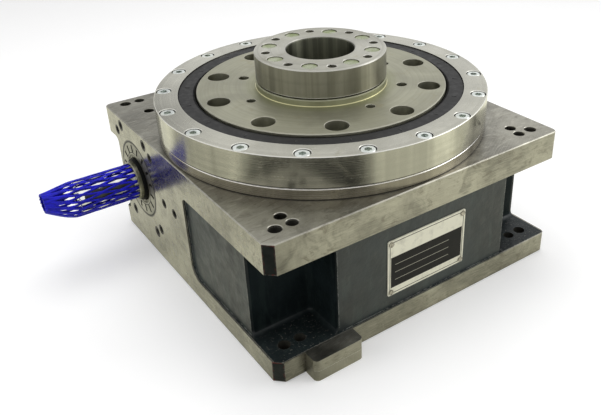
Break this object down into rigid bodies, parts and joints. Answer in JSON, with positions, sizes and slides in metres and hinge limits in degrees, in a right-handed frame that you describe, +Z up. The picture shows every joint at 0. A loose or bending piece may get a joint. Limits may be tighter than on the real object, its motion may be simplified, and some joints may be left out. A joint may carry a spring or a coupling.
{
  "type": "rotary indexing table",
  "caption": "Cam-driven rotary indexing table: square cast housing, large clamp ring, turning disc round a fixed hollow column, and a side input shaft.",
  "frame": {"origin": "table axis at the machined underside of the housing's lower plate", "axes": "+Z up along the table axis, -X is the side where the input shaft leaves, -Y is the nameplate side"},
  "size_m": [0.42, 0.3525, 0.2116],
  "materials": {
    "machined_casting": "machined faces, dark grey painted recessed walls",
    "turned_steel": "fine turned",
    "ground_steel": "ground",
    "plain_steel": "machined",
    "zinc_screw": "zinc plated",
    "black_rubber": "matt",
    "gasket_fibre": "matt fibre",
    "plate_print": "printed aluminium",
    "rivet_aluminium": "bright",
    "brass_fitting": "machined",
    "clear_glass": "clear",
    "net_plastic": "extruded net"
  },
  "bodies": {
    "housing": {"housing_casting": "machined_casting", "base_plate": "plain_steel", "base_gasket": "gasket_fibre", "base_plate_screws": "zinc_screw", "lug_pad": "plain_steel", "lug_pad_screws": "zinc_screw", "bearing_spacer_ring": "turned_steel", "clamp_ring": "turned_steel", "clamp_ring_screws": "zinc_screw", "main_bearing_outer_race": "ground_steel", "main_bearing_rollers": "ground_steel", "disc_seal": "black_rubber", "central_column": "turned_steel", "column_base_screws": "zinc_screw", "column_head": "turned_steel", "column_head_screws": "zinc_screw", "input_bearing_cup": "ground_steel", "far_bearing_cup": "ground_steel", "input_bearing_rollers": "ground_steel", "far_bearing_rollers": "ground_steel", "input_adjusting_ring": "plain_steel", "far_adjusting_cover": "plain_steel", "input_shaft_seal": "black_rubber", "nameplate": "plate_print", "nameplate_rivets": "rivet_aluminium", "oil_filler_plug": "brass_fitting", "oil_drain_plug": "brass_fitting", "sight_glass_rim": "brass_fitting", "sight_glass": "clear_glass"},
    "table": {"output_disc": "turned_steel", "follower_carrier": "plain_steel", "carrier_screws": "zinc_screw", "main_bearing_inner_race": "ground_steel", "follower_studs": "ground_steel", "follower_nuts": "zinc_screw", "collar_seal": "black_rubber"},
    "camshaft": {"camshaft": "ground_steel", "barrel_cam": "ground_steel", "cam_key": "ground_steel", "cam_spacers": "ground_steel", "input_bearing_cone": "ground_steel", "far_bearing_cone": "ground_steel", "shaft_net_sleeve": "net_plastic"},
    "follower_roller_01": {"follower_roller_01": "ground_steel"},
    "follower_roller_02": {"follower_roller_02": "ground_steel"},
    "follower_roller_03": {"follower_roller_03": "ground_steel"},
    "follower_roller_04": {"follower_roller_04": "ground_steel"},
    "follower_roller_05": {"follower_roller_05": "ground_steel"},
    "follower_roller_06": {"follower_roller_06": "ground_steel"},
    "follower_roller_07": {"follower_roller_07": "ground_steel"},
    "follower_roller_08": {"follower_roller_08": "ground_steel"},
    "follower_roller_09": {"follower_roller_09": "ground_steel"},
    "follower_roller_10": {"follower_roller_10": "ground_steel"}
  },
  "joints": [
    {"name": "table_spin", "type": "hinge", "parent": "housing", "child": "table", "pos_m": [0, 0, 0.1775], "axis": [0, 0, 1], "continuous": true},
    {"name": "camshaft_spin", "type": "hinge", "parent": "housing", "child": "camshaft", "pos_m": [0, 0.102, 0.079], "axis": [1, 0, 0], "continuous": true},
    {"name": "follower_roller_01_spin", "type": "hinge", "parent": "table", "child": "follower_roller_01", "pos_m": [-0.07382, 0.07382, 0.1178], "axis": [0, 0, 1], "continuous": true},
    {"name": "follower_roller_02_spin", "type": "hinge", "parent": "table", "child": "follower_roller_02", "pos_m": [-0.10311, 0.01633, 0.1178], "axis": [0, 0, 1], "continuous": true},
    {"name": "follower_roller_03_spin", "type": "hinge", "parent": "table", "child": "follower_roller_03", "pos_m": [-0.09302, -0.0474, 0.1178], "axis": [0, 0, 1], "continuous": true},
    {"name": "follower_roller_04_spin", "type": "hinge", "parent": "table", "child": "follower_roller_04", "pos_m": [-0.0474, -0.09302, 0.1178], "axis": [0, 0, 1], "continuous": true},
    {"name": "follower_roller_05_spin", "type": "hinge", "parent": "table", "child": "follower_roller_05", "pos_m": [0.01633, -0.10311, 0.1178], "axis": [0, 0, 1], "continuous": true},
    {"name": "follower_roller_06_spin", "type": "hinge", "parent": "table", "child": "follower_roller_06", "pos_m": [0.07382, -0.07382, 0.1178], "axis": [0, 0, 1], "continuous": true},
    {"name": "follower_roller_07_spin", "type": "hinge", "parent": "table", "child": "follower_roller_07", "pos_m": [0.10311, -0.01633, 0.1178], "axis": [0, 0, 1], "continuous": true},
    {"name": "follower_roller_08_spin", "type": "hinge", "parent": "table", "child": "follower_roller_08", "pos_m": [0.09302, 0.0474, 0.1178], "axis": [0, 0, 1], "continuous": true},
    {"name": "follower_roller_09_spin", "type": "hinge", "parent": "table", "child": "follower_roller_09", "pos_m": [0.0474, 0.09302, 0.1178], "axis": [0, 0, 1], "continuous": true},
    {"name": "follower_roller_10_spin", "type": "hinge", "parent": "table", "child": "follower_roller_10", "pos_m": [-0.01633, 0.10311, 0.1178], "axis": [0, 0, 1], "continuous": true}
  ],
  "couplings": [
    {"joint": "camshaft_spin", "follows": "table_spin", "ratio": 10}
  ]
}
